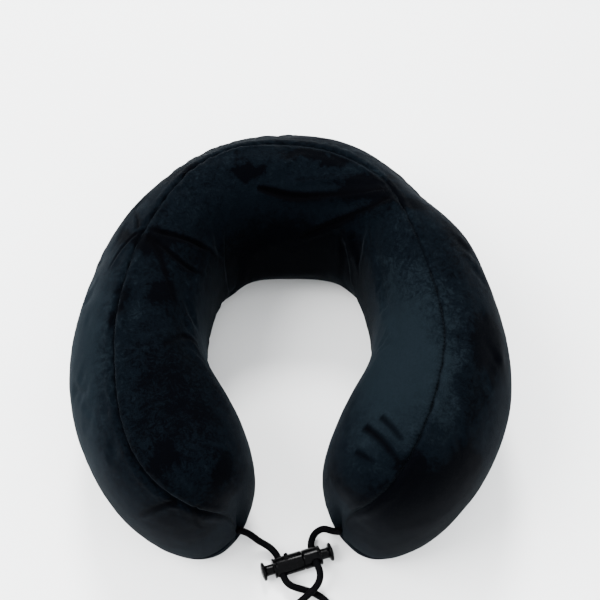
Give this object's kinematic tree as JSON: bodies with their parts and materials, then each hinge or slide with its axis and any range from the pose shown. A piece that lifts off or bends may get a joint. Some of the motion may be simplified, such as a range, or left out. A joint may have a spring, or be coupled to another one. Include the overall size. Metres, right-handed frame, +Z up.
{
  "type": "u shaped neck pillow",
  "caption": "U shaped memory foam travel neck pillow with a zipped velour cover, two end cords and a breakaway cord lock.",
  "frame": {"origin": "middle of the pillow's box on the surface it rests on", "axes": "+Z up through the pillow's thickness, +Y toward the closed back, the open side and the cords toward -Y"},
  "size_m": [0.294, 0.3595, 0.128],
  "materials": {
    "velour": "crystal velour pile, matte with a soft sheen",
    "foam": "open cell memory foam",
    "liner": "thin knitted liner",
    "tape": "woven zip tape",
    "coil": "moulded nylon coil",
    "zip_metal": "black painted zinc",
    "lock_plastic": "black moulded plastic, semi gloss",
    "spring_steel": "spring wire",
    "cord": "braided polyester cord"
  },
  "bodies": {
    "pillow": {"cover_neck_panel": "velour", "cover_outer_panel": "velour", "inner_liner": "liner", "foam_core": "foam", "zipper_tape_upper": "tape", "zipper_tape_lower": "tape", "zipper_coil_upper": "coil", "zipper_coil_lower": "coil", "zipper_stop_start": "zip_metal", "zipper_stop_end": "zip_metal", "cord_right": "cord", "cord_knot_right": "cord", "lock_plug_body": "lock_plastic", "button_spring_right": "spring_steel"},
    "lock_socket": {"lock_socket_body": "lock_plastic", "latch_pivot_pin": "spring_steel", "button_spring_left": "spring_steel", "cord_left": "cord", "cord_knot_left": "cord"},
    "button_left": {"push_button_left": "lock_plastic"},
    "button_right": {"push_button_right": "lock_plastic"},
    "latch": {"release_latch": "lock_plastic"},
    "zip_slider": {"zipper_slider": "zip_metal"},
    "zip_pull": {"zipper_pull": "zip_metal"}
  },
  "joints": [
    {"name": "release_slide", "type": "slide", "parent": "pillow", "child": "lock_socket", "axis": [-0.9563, -0.2924, 0], "range_m": [0, 0.01], "deforming": ["cord_left"]},
    {"name": "button_left_press", "type": "slide", "parent": "lock_socket", "child": "button_left", "axis": [0.9563, 0.2924, 0], "range_m": [0, 0.0026], "stiffness_N_per_m": 400, "springref_m": -0.004, "deforming": ["button_spring_left"]},
    {"name": "button_right_press", "type": "slide", "parent": "pillow", "child": "button_right", "axis": [-0.9563, -0.2924, 0], "range_m": [0, 0.0026], "stiffness_N_per_m": 400, "springref_m": -0.004, "deforming": ["button_spring_right"]},
    {"name": "latch_press", "type": "hinge", "parent": "lock_socket", "child": "latch", "pos_m": [0.003, -0.14849, 0.01159], "axis": [0.2532, -0.8282, 0.5], "range_deg": [0, 8], "stiffness_Nm_per_rad": 0.02, "springref_deg": -8.59},
    {"name": "zip_slide", "type": "hinge", "parent": "pillow", "child": "zip_slider", "pos_m": [0, 0.031, 0.028], "axis": [0, 0, 1], "range_deg": [0, 76]},
    {"name": "pull_swing", "type": "hinge", "parent": "zip_slider", "child": "zip_pull", "pos_m": [0.07454, 0.12641, 0.02693], "axis": [-0.1437, -0.184, -0.9724], "range_deg": [0, 160]}
  ]
}
